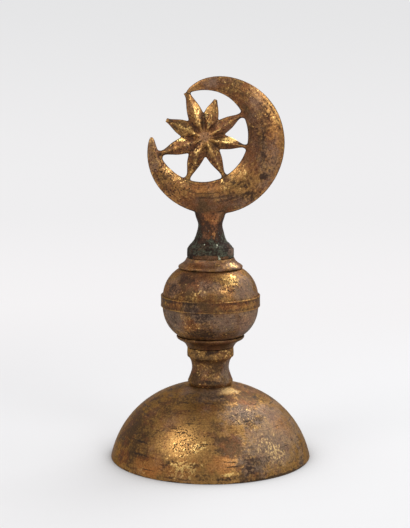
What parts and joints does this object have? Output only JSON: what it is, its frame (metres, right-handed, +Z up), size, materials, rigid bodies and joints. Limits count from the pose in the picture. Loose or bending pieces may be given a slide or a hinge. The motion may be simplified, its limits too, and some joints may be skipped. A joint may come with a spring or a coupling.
{
  "type": "crescent finial",
  "caption": "Gilt-copper alam: a domed foot carries a waisted neck, a hollow ball between saucers, and a crescent that holds a star.",
  "frame": {"origin": "centre of the dome's rim, on the surface that it stands on", "axes": "+Z up along the turned axis, which the iron rod lies on; the crescent lies in the XZ plane, its mouth towards -X and up, and the picture looks along +Y"},
  "size_m": [0.12, 0.12, 0.2266],
  "materials": {
    "gilt_copper": "worn fire gilding over brown patina, pitted",
    "brown_copper": "dull brown patina with little gilding left",
    "green_copper": "dark patina with green corrosion",
    "iron": "dark forged iron, lightly rusted"
  },
  "bodies": {
    "root": {"dome_shell": "gilt_copper", "neck_spool": "brown_copper", "lower_collar": "brown_copper", "lower_saucer": "gilt_copper", "lower_bowl": "brown_copper", "girdle_band": "gilt_copper", "upper_bowl": "gilt_copper", "upper_saucer": "gilt_copper", "upper_collar": "green_copper", "crescent": "gilt_copper", "star": "gilt_copper", "tie_rod": "iron", "crown_washer": "iron", "rod_nut": "iron"}
  },
  "joints": []
}
